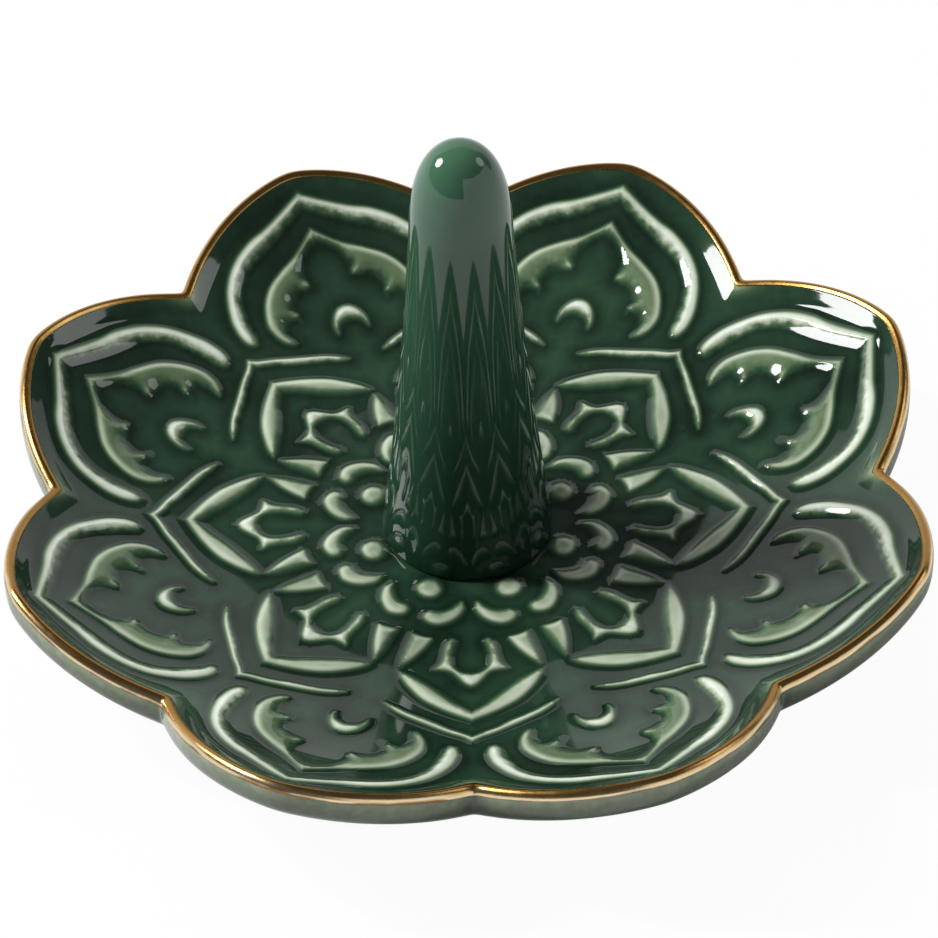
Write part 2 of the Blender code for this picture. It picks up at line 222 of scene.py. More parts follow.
dish = {
    "petals": 8,
    "tipRadius": 52 * mm,
    "notchDepth": 7.14 * mm,
    "flankBow": 2.13 * mm,
    "tipRounding": 1.2 * mm,
    "notchRounding": 0.45 * mm,
    "floorRadius": 21.5 * mm,
    "bowlDepth": 11.3 * mm,
    "lipHeight": 0.45 * mm,
    "lipWidth": 2.2 * mm,
    "lipToe": 0.8 * mm,          # how far inside the lip its curve starts
    "wallHeight": 4.6 * mm,
    "poolDepth": 0.42 * mm,      # glaze pooled on the floor
    "poolEdge": (32 * mm, 45 * mm),  # radii between which it thins out
    "seatRadius": 8.7 * mm,
    "seatDepth": 1.8 * mm,
    "ventRadius": 2 * mm,
    "footReach": 27.5 * mm,
    "undersidePower": 1.6,
    "undersideRows": (0.86, 0.72, 0.56, 0.42, 0.28, 0.14, 0.0),  # shares of the way out from the foot
    "turnUnder": 0.4 * mm,
    # the rim's section, as (outside the crest, below it at a notch, below it at a tip) in mm
    "rimSection": ((-1.45, 1.10, 1.25), (-0.9, 0.56, 0.70), (-0.5, 0.22, 0.29), (-0.12, 0, 0),
                   (0.16, 0.04, 0.04), (0.38, 0.17, 0.17), (0.56, 0.38, 0.38), (0.68, 0.69, 0.69),
                   (0.75, 1.1, 1.1), (0.77, 1.75, 1.75), (0.74, 2.5, 2.5), (0.6, 3.3, 3.3),
                   (0.29, 3.95, 3.95)),
    "flankSteps": 38,
    "flankEven": 0.3,            # how even these are; the rest lies closer together at both ends
    "rimSteps": [4] * 4 + [2] * 10 + [1] * 7,    # for each span of the lip, the wall and the underside
    "lipSpans": 4,               # how many of these lie inside the crest
    "colours": {  # glaze from its thickest, in the hollows, to its thinnest, on the raised edges
        0.0: (0.005, 0.014, 0.007),
        0.06: (0.009, 0.024, 0.013),
        0.16: (0.018, 0.048, 0.026),
        0.30: (0.042, 0.092, 0.047),
        0.46: (0.112, 0.170, 0.088),
        0.66: (0.370, 0.440, 0.315),
        0.95: (0.820, 0.880, 0.780),
    },
    "rimTones": {  # tones, or how much is added or taken and the distance over which that fades
        "lip": 0.15, "lipNotch": (0.38, 2.3 * mm), "crest": (0.14, 0.22 * mm), "reliefRows": 10,
        # the wall's tone is painted darker towards its foot: painted shade under the rim
        "wall": 0.94, "wallFootShade": (0.88, 5 * mm), "wallNotch": (0.25, 1.1 * mm),
        "innerLoose": 0.05, "outerLoose": 0.3,
        "seat": (0.1, 0), "underside": (0.3, 0),
    },
    "wallColours": {
        0.0: (0.014, 0.028, 0.015),
        0.35: (0.050, 0.074, 0.042),
        0.7: (0.140, 0.180, 0.108),
        1.0: (0.310, 0.355, 0.240),
    },
}

halfSector = math.pi / dish["petals"]
alongNotch = np.array([math.sin(halfSector), math.cos(halfSector)])
acrossNotch = np.array([math.cos(halfSector), -math.sin(halfSector)])
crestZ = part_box("gold_rim")[1].z
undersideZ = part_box("dish")[0].z
floorZ = crestZ - dish["bowlDepth"]


def atAngle(radius, angle):
    return np.stack([radius * np.sin(angle), radius * np.cos(angle)], -1)


def bowlZ(radius):
    run = np.maximum(0, (radius - dish["floorRadius"]) / (dish["tipRadius"] - dish["floorRadius"]))
    start, end = dish["poolEdge"]
    pooled = dish["poolDepth"] * (1 - smooth((radius - start) / (end - start)))
    return floorZ + pooled + (dish["bowlDepth"] - dish["lipHeight"]) * run ** 2


def undersideAt(radius, height):
    outer = dish["tipRadius"] - dish["turnUnder"]
    run = np.maximum(0, (radius - dish["footReach"]) / (outer - dish["footReach"]))
    return undersideZ + (height - undersideZ) * run ** dish["undersidePower"]


def flankLine(offset):
    # from a petal's tip round to the notch beside it, this far outside the crest
    tip = np.array([0, dish["tipRadius"]])
    notch = alongNotch * (dish["tipRadius"] - dish["notchDepth"])
    chord = notch - tip
    bow = dish["flankBow"]
    arcRadius = (chord @ chord / 4 + bow ** 2) / (2 * bow)
    inward = np.array([chord[1], -chord[0]]) / np.linalg.norm(chord)
    centre = (tip + notch) / 2 + inward * (arcRadius - bow)
    reach = arcRadius + offset
    start = math.asin(-centre[0] / reach)
    end = halfSector + math.asin(-centre @ acrossNotch / reach)
    share = np.linspace(0, 1, dish["flankSteps"] + 1)
    even = dish["flankEven"]
    share = even * share + (1 - even) / 2 * (1 - np.cos(math.pi * share))
    line = centre + atAngle(reach, start + (end - start) * share)
    # both corners are softened, so that the line meets the slice's sides squarely
    side = np.maximum(0, -(line @ acrossNotch))
    way = np.array([math.cos(end), -math.sin(end)])
    fill = np.sqrt(side ** 2 + dish["notchRounding"] ** 2) - side
    line = line + np.outer(-fill * (way @ alongNotch) / (way @ acrossNotch), alongNotch)
    drop = np.sqrt(line[:, 0] ** 2 + dish["tipRounding"] ** 2) - line[:, 0]
    line[:, 1] -= drop * math.tan(start)
    return line


def crestLine():
    line = flankLine(0)
    return bowlZ(np.linalg.norm(line, axis=1)) + dish["lipHeight"]


def rimRows(outlines):
    # lines along the flank, from inside the lip's toe over the crest and down the wall
    crest = crestLine()
    atTip = (crest - crest[-1]) / (crest[0] - crest[-1])
    rows = []
    for inside in (dish["lipWidth"] + dish["lipToe"], dish["lipWidth"]):
        line = flankLine(-inside)
        rows.append(np.column_stack([line, surfaceZ(insetOf(line), outlines)[0]]))
    for out, notchDown, tipDown in dish["rimSection"]:
        down = notchDown + (tipDown - notchDown) * atTip
        rows.append(np.column_stack([flankLine(out * mm), crest - down * mm]))
    return rows


# Raised figures, drawn upright on a petal whose tip is at (0, 1), or on the line through a notch.
# Strokes are curves through a few points and meet in corners: the first ones follow the figure's
# crisp edge, the others go back along the edge that fades. Heights, slopes and shifts are in mm.
figures = {
    "ogee": {
        "line": "petal", "height": 0.52, "tone": 0.86,
        "crispSlope": 0.95, "softSlope": 1.25, "softShift": 0.45, "loose": 1.0,
        "crisp": [[(0, .959), (.05, .933), (.1, .908), (.15, .886), (.2, .848), (.236, .797),
                   (.2535, .732), (.251, .687), (.2385, .661), (.224, .656)]],
        "soft": [[(.224, .656), (.2185, .669), (.2215, .717), (.215, .775), (.19, .819), (.15, .851),
                  (.1, .879), (.05, .908), (0, .937)]],
    },
    "leaf": {
        "line": "petal", "height": 0.52, "tone": 0.45, "loose": 0.5,
        "cusps": [(.1385, .640), (.1075, .703), (.0545, .7665)],
        "crispSlope": 0.95, "softSlope": 1.30, "softShift": 0.55,
        "crisp": [[(0, .884), (.03, .859), (.06, .8365), (.10, .813), (.14, .783), (.166, .745),
                   (.1785, .70), (.172, .667), (.156, .645), (.139, .6365)]],
        "soft": [[(.139, .6365), (.1465, .665), (.140, .692), (.125, .699), (.106, .7015)],
                 [(.106, .7015), (.112, .722), (.102, .746), (.080, .760), (.053, .766)],
                 [(.053, .766), (.0565, .800), (.042, .832), (.02, .852), (0, .861)]],
    },
    "crescent": {
        "line": "petal", "height": 0.45, "tone": 0.84,
        "crispSlope": 0.85, "softSlope": 1.10, "softShift": 0.30,
        "crisp": [[(0, .697), (.015, .693), (.029, .679), (.0375, .658), (.0385, .644), (.036, .634)]],
        "soft": [[(.036, .634), (.030, .650), (.020, .6605), (0, .667)]],
    },
    "ridge": {
        "line": "notch", "height": 0.42, "tone": 0.92,
        "crispSlope": 0.75, "softSlope": 0.80, "softShift": 0.08, "fade": 0.2, "loose": 0.8,
        "crisp": [[(0, .6735), (.018, .6585), (.05, .6405), (.08, .6205), (.11, .6005), (.14, .5795),
                   (.162, .5585), (.177, .5365)]],
        "soft": [[(.177, .5365), (.156, .5515), (.136, .5685), (.108, .5865), (.078, .6055), (.05, .6275),
                  (.018, .6465), (0, .6595)]],
    },
    "twinLeaf": {
        "line": "notch", "height": 0.52, "tone": 0.64,
        "crispSlope": 0.90, "softSlope": 1.05, "softShift": 0.15,
        "crisp": [[(0, .598), (.03, .581), (.065, .558), (.1, .528), (.125, .494), (.142, .462),
                   (.147, .441)]],
        "soft": [[(.147, .441), (.12, .457), (.09, .482), (.06, .512), (.03, .546), (0, .573)]],
    },
    "crown": {
        "line": "notch", "height": 0.46, "tone": 0.74,
        "crispSlope": 0.75, "softSlope": 0.80, "softShift": 0.06, "fade": 0.5,
        "crisp": [[(0, .487), (.012, .48), (.024, .464), (.036, .447), (.05, .439), (.073, .435)]],
        "soft": [[(.073, .435), (.062, .42), (.056, .398), (.0515, .37), (.04, .35),
                  (.031, .354), (.037, .378), (.041, .403), (.037, .428), (.022, .446), (0, .452)]],
    },
    "wedge": {
        "line": "free", "height": 0.46, "tone": 0.57,
        "crispSlope": 0.80, "softSlope": 0.85, "softShift": 0.10,
        "crisp": [[(.029, .4465), (.045, .4135), (.055, .3815), (.0605, .3505)],
                  [(.0605, .3505), (.041, .353), (.017, .351)]],
        "soft": [[(.017, .351), (.0175, .3865), (.021, .4215), (.029, .4465)]],
    },
    "comma": {
        "line": "free", "height": 0.46, "tone": 0.58,
        "crispSlope": 0.80, "softSlope": 0.85, "softShift": 0.10,
        "crisp": [[(.078, .229), (.089, .2465), (.0865, .2715), (.0745, .2935), (.0565, .3085),
                   (.0375, .31), (.0215, .3025), (.017, .2875)]],
        "soft": [[(.017, .2875), (.0255, .2775), (.0435, .2735), (.0595, .2615), (.0705, .2445),
                  (.078, .229)]],
    },
    "dot": {
        "line": "petal", "height": 0.42, "tone": 0.58,
        "crispSlope": 0.80, "softSlope": 0.80, "softShift": 0.00,
        "crisp": [[(0, .242), (.0133, .2385), (.023, .2288), (.0265, .2155)]],
        "soft": [[(.0265, .2155), (.023, .2023), (.0133, .1926), (0, .189)]],
    },
}

relief = {
    "spacing": 0.36 * mm,        # of the mesh, along the outlines
    "rows": (-1.05, -0.78, -0.54, -0.33, -0.15, 0.03, 0.21, 0.42, 0.66, 0.95),  # mm inside the outlines
    "rowSlack": 0.03,            # how far, in mm, a point may lie off its row
    "cornerSteps": 7,            # the fewest points round a figure's corner
    "curveSteps": 16,            # of a stroke between its points
    "drawnStep": 0.004,          # of the outlines, as a share of the petal's length
    "openSpacing": 0.85 * mm,    # of the lattice in the field and on the figures' tops
    "openFrom": (-1.15 * mm, 0.75 * mm),         # outside and inside the outlines
    "closest": 0.13 * mm,
    "margins": (0.12 * mm, 0.3 * mm),            # of the rows and the lattice, to the slice's edge
    "slopeStep": 0.03 * mm,
    "seatSteps": 12,
    # the glaze's tones; distances are in mm
    "blend": 0.15,               # how close to its edges a figure takes their own slopes and tones
    "paleShift": (0.02, 0.20),   # where the pale tone starts inside the crisp edge; more at the soft one
    "paleWidth": (0.38, 0.50),
    "thinTone": 0.93,            # of the glaze that runs thin along the crisp edges
    "thinReach": 0.55,
    "cuspShare": (0.8, 0.7),     # how crisp a cusp is, and its reach
    "cuspGlow": (0.9, 0.75),
    "loose": 0.2,                # of figures that don't say
    "torn": (0.3, 0.55),         # where the loose edges are torn, and the reach
    "tornFrom": (0.25, 0.625),   # share of the way to the soft edge where this starts, and its width
    "fieldTones": (0.05, 0.11),  # beside the figures, and what the open field adds
    "fieldEdge": (0.3, 1.7),
}


def sampled(stroke, step):
    # a smooth line through the stroke's points, at about this step
    fine = splineThrough(padded(stroke), relief["curveSteps"])
    run = np.concatenate([[0], np.cumsum(np.linalg.norm(np.diff(fine, axis=0), axis=1))])
    places = np.linspace(0, run[-1], max(2, int(round(run[-1] / step))) + 1)
    return np.column_stack([np.interp(places, run, fine[:, i]) for i in (0, 1)])


def placed(points, line):
    points = np.asarray(points, float) * dish["tipRadius"]
    if line == "notch":
        return np.outer(points[:, 1], alongNotch) - np.outer(points[:, 0], acrossNotch)
    return points


def outlinesOf(figure):
    # the crisp and the soft edge, each one line in the slice
    edges = []
    for key in ("crisp", "soft"):
        lines = [placed(sampled(stroke, relief["drawnStep"]), figure["line"]) for stroke in figure[key]]
        edges.append(np.concatenate([lines[0]] + [line[1:] for line in lines[1:]]))
    return edges


def distanceTo(points, line):
    nearest = np.full(len(points), np.inf)
    for a, b in zip(line[:-1], line[1:]):
        way = b - a
        t = np.clip((points - a) @ way / (way @ way), 0, 1)
        nearest = np.minimum(nearest, np.linalg.norm(points - a - t[:, None] * way, axis=1))
    return nearest


def isInside(points, ring):
    inside = np.zeros(len(points), bool)
    for a, b in zip(ring, np.roll(ring, -1, axis=0)):
        crosses = (a[1] > points[:, 1]) != (b[1] > points[:, 1])
        if crosses.any():
            at = a[0] + (b[0] - a[0]) * (points[:, 1] - a[1]) / (b[1] - a[1])
            inside ^= crosses & (points[:, 0] < at)
    return inside


def figureFields(points, outlines):
    # height, glaze tone, depth inside the figures and looseness of their edges at plan points
    nearest = np.full(len(points), np.inf)
    cubes = np.zeros(len(points))
    signed = np.full(len(points), -1.0)
    weight = np.zeros(len(points))
    top = np.zeros(len(points))
    loose = np.zeros(len(points))
    for figure, (crispLine, softLine) in zip(figures.values(), outlines):
        crisp = distanceTo(points, crispLine) / mm
        soft = distanceTo(points, softLine) / mm
        depth = np.minimum(crisp, soft)
        side = np.where(isInside(points, np.concatenate([crispLine, softLine[1:]])), depth, -depth)
        # near 0 at the crisp edge, near 1 at the soft one
        share = (crisp + relief["blend"]) / (crisp + soft + 2 * relief["blend"])
        glow = near(crisp, relief["thinReach"])
        for cusp in placed(figure.get("cusps", np.zeros((0, 2))), figure["line"]):
            gap = np.linalg.norm(points - cusp, axis=1) / mm
            amount, reach = relief["cuspShare"]
            share = share * (1 - amount * near(gap, reach))
            amount, reach = relief["cuspGlow"]
            glow = np.maximum(glow, amount * near(gap, reach))
        slope = figure["crispSlope"] + (figure["softSlope"] - figure["crispSlope"]) * share
        raised = mm * figure["height"] * smooth(0.5 + 0.5 * (side - figure["softShift"] * share) / slope)
        fade = share * figure.get("fade", 1.0)
        shift, width = (start + more * fade for start, more in (relief["paleShift"], relief["paleWidth"]))
        pale = smooth(0.5 + 0.5 * (side - shift) / width)
        inside, reach = relief["torn"]
        start, width = relief["tornFrom"]
        torn = smooth((share - start) / width) * near(side - inside, reach)
        closer = depth < nearest
        nearest = np.where(closer, depth, nearest)
        cubes += (raised / mm) ** 3  # so that neighbouring figures' sides run into each other
        signed = np.where(closer, side * mm, signed)
        weight = np.where(closer, pale, weight)
        top = np.where(closer, figure["tone"] + (relief["thinTone"] - figure["tone"]) * glow, top)
        loose = np.where(closer, figure.get("loose", relief["loose"]) * torn, loose)
    beside, openField = relief["fieldTones"]
    start, width = relief["fieldEdge"]
    field = beside + openField * smooth((-signed / mm - start) / width)
    return mm * np.cbrt(cubes), field + (top - field) * weight, signed, loose


def surfaceZ(points, outlines):
    height, tone, _, loose = figureFields(points, outlines)
    return bowlZ(np.linalg.norm(points, axis=1)) + height, tone, loose


def insetOf(plan):
    # points on the slice's sides are read just inside it
    inset = plan.copy()
    inset[:, 0] = np.maximum(inset[:, 0], nudge)
    return inset - np.outer(np.maximum(0, inset @ acrossNotch + nudge), acrossNotch)


def reliefPoints(outlines, toe):
    toeRadius = np.linalg.norm(toe, axis=1)
    toeAngle = np.arctan2(toe[:, 0], toe[:, 1])

    def sideLine(direction, outer):
        count = int((outer - dish["seatRadius"]) / relief["spacing"])
        return np.outer(np.linspace(dish["seatRadius"], outer, count + 1), direction)

    petalSide = sideLine(np.array([0.0, 1.0]), toeRadius[0])
    notchSide = sideLine(alongNotch, toeRadius[-1])
    seat = atAngle(dish["seatRadius"], np.linspace(0, halfSector, relief["seatSteps"] + 1))
    border = np.concatenate([petalSide, toe[1:-1], notchSide[::-1], seat[::-1][1:-1]])
    edges = [(i, (i + 1) % len(border)) for i in range(len(border))]

    def within(points, margin):
        radius = np.linalg.norm(points, axis=1)
        outer = np.interp(np.arctan2(points[:, 0], points[:, 1]), toeAngle, toeRadius)
        return ((points[:, 0] > margin) & (points @ acrossNotch < -margin)
                & (radius > dish["seatRadius"] + margin) & (radius < outer - margin))

    free = []
    for lines in outlines:
        for line in lines:
            run = np.concatenate([[0], np.cumsum(np.linalg.norm(np.diff(line, axis=0), axis=1))])
            count = max(2, int(run[-1] / relief["spacing"]))
            places = np.linspace(0, run[-1], count + 1)
            middle = np.column_stack([np.interp(places, run, line[:, i]) for i in (0, 1)])
            ahead = np.gradient(middle, axis=0)
            ahead /= np.linalg.norm(ahead, axis=1)[:, None]
            across = np.column_stack([ahead[:, 1], -ahead[:, 0]])
            for index, row in enumerate(relief["rows"]):
                shift = 0.5 * (index % 2)  # every other row is staggered
                spots = middle + shift * np.gradient(middle, axis=0)
                for way in (1, -1):
                    free.append(np.column_stack([spots + way * across * row * mm,
                                                 np.full(len(spots), row)]))
        # the outer rows go round the corners in fans
        for corner in (lines[0][0], lines[0][-1]):
            for row in (r for r in relief["rows"] if r < 0):
                count = max(relief["cornerSteps"], int(math.tau * -row * mm / relief["spacing"]))
                fan = corner + atAngle(-row * mm, (np.arange(count) + 0.5) * math.tau / count)
                free.append(np.column_stack([fan, np.full(count, row)]))
    free = np.concatenate(free)
    rowMargin, latticeMargin = relief["margins"]
    free = free[within(free[:, :2], rowMargin)]
    signed = figureFields(free[:, :2], outlines)[2]
    free = free[np.abs(signed / mm - free[:, 2]) < relief["rowSlack"], :2]
    step = relief["openSpacing"]
    rowHeight = 0.866 * step
    count = int(dish["tipRadius"] / step) + 2
    i, j = np.meshgrid(np.arange(count), np.arange(2 * count), indexing="ij")
    lattice = np.column_stack([((i + 0.5 * (j % 2)) * step).ravel(), (j * rowHeight).ravel()])
    lattice = lattice[within(lattice, latticeMargin)]
    signed = figureFields(lattice, outlines)[2]
    outside, inside = relief["openFrom"]
    lattice = lattice[(signed < outside) | (signed > inside)]

    kept = {}
    cell = relief["closest"]

    def isFree(point, gap):
        x, y = int(point[0] // cell), int(point[1] // cell)
        reach = int(gap // cell) + 1
        for a in range(x - reach, x + reach + 1):
            for b in range(y - reach, y + reach + 1):
                for other in kept.get((a, b), ()):
                    if (other[0] - point[0]) ** 2 + (other[1] - point[1]) ** 2 < gap * gap:
                        return False
        return True

    def keep(point):
        kept.setdefault((int(point[0] // cell), int(point[1] // cell)), []).append(tuple(point))

    points = [tuple(p) for p in border]
    for point in border:
        keep(point)
    for group, gap in ((free, relief["closest"]), (lattice, 0.5 * step)):
        for point in group:
            if isFree(point, gap):
                keep(point)
                points.append(tuple(point))
    return points, edges


def makeSlice():
    # one sixteenth of the dish: points, faces, normals, glaze tones and material slots
    made = {"verts": [], "faces": [], "normals": [], "tones": [], "slots": []}

    def add(points, faces, tones, slots, normals=None):
        first = sum(len(done) for done in made["verts"])
        made["verts"].append(points)
        made["faces"] += [tuple(first + i for i in face) for face in faces]
        made["normals"].append(np.zeros((len(points), 3)) if normals is None else normals)
        made["tones"].append(np.broadcast_to(tones, (len(points), 2)))
        made["slots"] += [slots] * len(faces) if isinstance(slots, int) else slots

    # the relief, from the seat to the toe of the lip
    outlines = [outlinesOf(figure) for figure in figures.values()]
    toe = flankLine(-dish["lipWidth"])
    points, edges = reliefPoints(outlines, toe)
    plan, faces = triangulated(points, edges)
    inset = insetOf(plan)
    heights, tones, loose = surfaceZ(inset, outlines)
    step = relief["slopeStep"]
    slopes = []
    for way in (np.array([step, 0]), np.array([0, step])):
        ahead = surfaceZ(inset + way, outlines)[0]
        behind = surfaceZ(inset - way, outlines)[0]
        slopes.append((ahead - behind) / (2 * step))
    normals = np.column_stack([-slopes[0], -slopes[1], np.ones(len(plan))])
    normals /= np.linalg.norm(normals, axis=1)[:, None]
    onSide = (plan[:, 0] < nudge) | (plan @ acrossNotch > -nudge)
    toeGap = np.linalg.norm(plan[:, None] - toe[None], axis=2).min(1)
    seatGap = np.linalg.norm(plan, axis=1) - dish["seatRadius"]
    normals[onSide | (toeGap < nudge) | (seatGap < nudge)] = 0  # these are left to the mesh
    add(np.column_stack([plan, heights]), faces, np.column_stack([tones, loose]), 0, normals)
    print("relief of one slice:", len(plan), "points,", len(faces), "triangles")

    # the rim's section is swept along the flank, from the toe of the lip to under the edge
    crest = crestLine()
    control = rimRows(outlines)
    turn = flankLine(-dish["turnUnder"])
    turnRadius = np.linalg.norm(turn, axis=1)
    edgeZ = crestZ - dish["wallHeight"]
    control.append(np.column_stack([turn, undersideAt(turnRadius, edgeZ)]))
    for share in dish["undersideRows"]:
        reach = dish["footReach"] + share * (turnRadius - dish["footReach"])
        line = turn / turnRadius[:, None] * reach[:, None]
        control.append(np.column_stack([line, undersideAt(reach, edgeZ)]))
    control.append(2 * control[-1] - control[-2])
    rim = splineThrough(control, dish["rimSteps"])
    rim[:, 0, 0] = 0
    rows, columns = rim.shape[:2]
    crestRow = sum(dish["rimSteps"][:dish["lipSpans"]])  # from here out it takes the wall's glaze
    side = np.maximum(0, -(rim[..., :2] @ acrossNotch))
    below = crest - rim[..., 2]
    look = dish["rimTones"]
    inner = (look["lip"] + look["lipNotch"][0] * near(side, look["lipNotch"][1])
             + look["crest"][0] * near(below, look["crest"][1]))
    # the wall is painted darker towards its foot, a painted shade under the rim
    outer = (look["wall"] - look["wallFootShade"][0] * smooth(below / look["wallFootShade"][1])
             - look["wallNotch"][0] * near(side, look["wallNotch"][1]))
    drawn = figureFields(insetOf(rim[..., :2].reshape(-1, 2)), outlines)[1].reshape(side.shape)
    fade = smooth(np.arange(rows) / look["reliefRows"])[:, None]
    inner = drawn + (np.maximum(inner, drawn) - drawn) * fade
    isInner = np.repeat((np.arange(rows) < crestRow)[:, None], columns, axis=1)
    add(rim.reshape(-1, 3), stripFaces(rows, columns),
        np.column_stack([np.where(isInner, inner, outer).ravel(),
                         np.where(isInner, look["innerLoose"], look["outerLoose"]).ravel()]),
        [0 if row < crestRow else 1 for row in range(rows - 1) for _ in range(columns - 1)])

    # the seat under the cone, the vent and the flat underside
    angles = np.linspace(0, halfSector, relief["seatSteps"] + 1)
    seatZ = floorZ - dish["seatDepth"]
    seat = np.array([np.column_stack([atAngle(radius, angles), np.full(len(angles), z)])
                     for radius, z in ((dish["seatRadius"], floorZ), (dish["seatRadius"], seatZ),
                                       (dish["ventRadius"], seatZ), (dish["ventRadius"], undersideZ))])
    add(seat.reshape(-1, 3), stripFaces(*seat.shape[:2]), look["seat"], 0)
    ring = np.concatenate([rim[-1, :, :2], seat[-1, ::-1, :2]])
    base, faces = triangulated(ring, [(i, (i + 1) % len(ring)) for i in range(len(ring))])
    base = np.column_stack([base, np.full(len(base), undersideZ)])
    add(base, [face[::-1] for face in faces], look["underside"], 1)
    return (np.concatenate(made["verts"]), made["faces"], np.concatenate(made["normals"]),
            np.concatenate(made["tones"]), made["slots"])


def wholeFromSlice(verts, faces, normals, tones, slots):
    # mirrors the slice and turns it round to every petal, then joins what meets
    allVerts, allNormals, allFaces, allTones, allSlots = [], [], [], [], []
    for petal in range(dish["petals"]):
        angle = halfSector * (2 * petal + 1) - math.pi
        turn = np.array(Matrix.Rotation(angle, 3, "Z"))
        for flip in (1, -1):
            mirror = np.array([flip, 1, 1])
            first = sum(len(v) for v in allVerts)
            allVerts.append((verts * mirror) @ turn.T)
            allNormals.append((normals * mirror) @ turn.T)
            allTones.append(tones)
            allSlots += slots
            for face in faces:
                order = face if flip == 1 else face[::-1]
                allFaces.append([first + i for i in order])
    verts = np.concatenate(allVerts)
    keys = np.round(verts / nudge).astype(np.int64)
    _, firstOf, group = np.unique(keys, axis=0, return_index=True, return_inverse=True)
    group = group.ravel()
    faces, kept = [], []
    for face, slot in zip(allFaces, allSlots):
        joined = []
        for i in face:
            if group[i] not in joined:
                joined.append(int(group[i]))
        if len(joined) > 2:
            faces.append(joined)
            kept.append(slot)
    return (verts[firstOf], faces, np.concatenate(allNormals)[firstOf],
            np.concatenate(allTones)[firstOf], kept)


glaze = {
    "ior": 1.52,
    "clouds": (110.0, 4.0, 0.3),               # noise scale, detail and strength in the tone
    "flecks": (850.0, 2.0),
    "fleckStrength": (0.05, 0.9),              # everywhere, and what a loose edge adds
    "gloss": {"relief": 0.05, "wall": 0.07},
    "glossVaries": (700.0, 2.0, 0.6, 1.5),     # noise scale, detail, lowest and highest share
    "ripple": (150.0, 0.5, 0.15, 0.06 * mm),   # noise scale, detail, strength and depth
}


def glazeMaterial(name, stops, roughness):
    # one glaze, darker where it lies thick and paler where it runs thin
    material, tree, shader = newMaterial(name, Roughness=roughness, IOR=glaze["ior"])
    tone, loose = (addNode(tree, "ShaderNodeAttribute", attribute_name=key).outputs["Fac"]
                   for key in ("tone", "loose"))
    everywhere, atLooseEdge = glaze["fleckStrength"]
    strength = math2(tree, "ADD", math2(tree, "MULTIPLY", loose, atLooseEdge), everywhere)
    varied = clouded(tree, tone, *glaze["clouds"])
    varied = clouded(tree, varied, *glaze["flecks"], strength)
    scale, detail, low, high = glaze["glossVaries"]
    colour = colourRamp(tree, varied, stops)
    gloss = (scale, detail, low * roughness, high * roughness)
    finishSurface(tree, shader, colour, gloss, glaze["ripple"])
    return material


def makeDish():
    materials = [glazeMaterial("reliefGlaze", dish["colours"], glaze["gloss"]["relief"]),
                 glazeMaterial("wallGlaze", dish["wallColours"], glaze["gloss"]["wall"])]
    verts, faces, normals, tones, slots = wholeFromSlice(*makeSlice())
    obj = buildMesh("glazed_dish", verts, faces, materials, slots, normals, tones)
    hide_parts("dish")
    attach(obj, "root")
    print("dish:", len(verts), "points,", sum(len(f) - 2 for f in faces), "triangles")


# the gilt band

gilt = {
    "steps": 3,                  # for each span of the rim's section
    "rows": (8, 24),             # the band's inner and outer edge, counted in these steps
    "thickness": 0.05 * mm,
    "sink": 0.04 * mm,
    "colours": {  # from the band's inner edge, over its crest, to its burnt outer edge; the pale stops on its outward side are a painted reflection of the white floor, the burnt edge is the lustre's own colour
        0.0: (0.46, 0.30, 0.11),
        0.18: (0.42, 0.22, 0.055),
        0.50: (0.46, 0.27, 0.09),
        0.70: (0.74, 0.55, 0.30),
        0.84: (0.82, 0.66, 0.43),
        1.0: (0.26, 0.14, 0.05),
    },
    "clouds": (180.0, 5.0, 0.7),               # noise scale, detail and strength in the tone
    "roughness": (900.0, 3.0, 0.16, 0.34),     # noise scale, detail, lowest and highest
    "grain": (450.0, 2.0, 0.35, 0.08 * mm),    # noise scale, detail, strength and depth
}


def goldMaterial():
    material, tree, shader = newMaterial("goldLustre", Roughness=0.24, Metallic=1.0)
    across = addNode(tree, "ShaderNodeAttribute", attribute_name="tone").outputs["Fac"]
    varied = clouded(tree, across, *gilt["clouds"])
    # the tone across the band carries a painted reflection: paler on the band's outward side
    colour = colourRamp(tree, varied, gilt["colours"])
    finishSurface(tree, shader, colour, gilt["roughness"], gilt["grain"])
    return material


def makeGilt():
    first, last = gilt["rows"]
    outlines = [outlinesOf(figure) for figure in figures.values()]
    section = splineThrough(rimRows(outlines), gilt["steps"])[first:last + 1]
    outward = np.cross(np.gradient(section, axis=1), np.gradient(section, axis=0))
    outward /= np.linalg.norm(outward, axis=2)[..., None]
    lift = gilt["thickness"] * np.sin(np.linspace(0, math.pi, len(section))) ** 0.5
    face = section + outward * lift[:, None, None]
    back = section - outward * gilt["sink"]
    rows = np.concatenate([face, back[::-1], face[:1]])
    rows[:, 0, 0] = 0
    rows[:, -1, :2] -= np.outer(rows[:, -1, :2] @ acrossNotch, acrossNotch)
    verts = rows.reshape(-1, 3)
    across = np.linspace(0, 1, len(section))
    across = np.concatenate([across, across[::-1], across[:1]])
    faces = stripFaces(*rows.shape[:2]).tolist()
    tones = np.repeat(across, rows.shape[1])[:, None]
    slots = [0] * len(faces)
    verts, faces, _, tones, _ = wholeFromSlice(verts, faces, np.zeros_like(verts), tones, slots)
    obj = buildMesh("gilt_band", verts, faces, [goldMaterial()], tones=tones)
    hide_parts("gold_rim")
    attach(obj, "root")
    print("gilt band:", len(faces), "faces")


# the cone

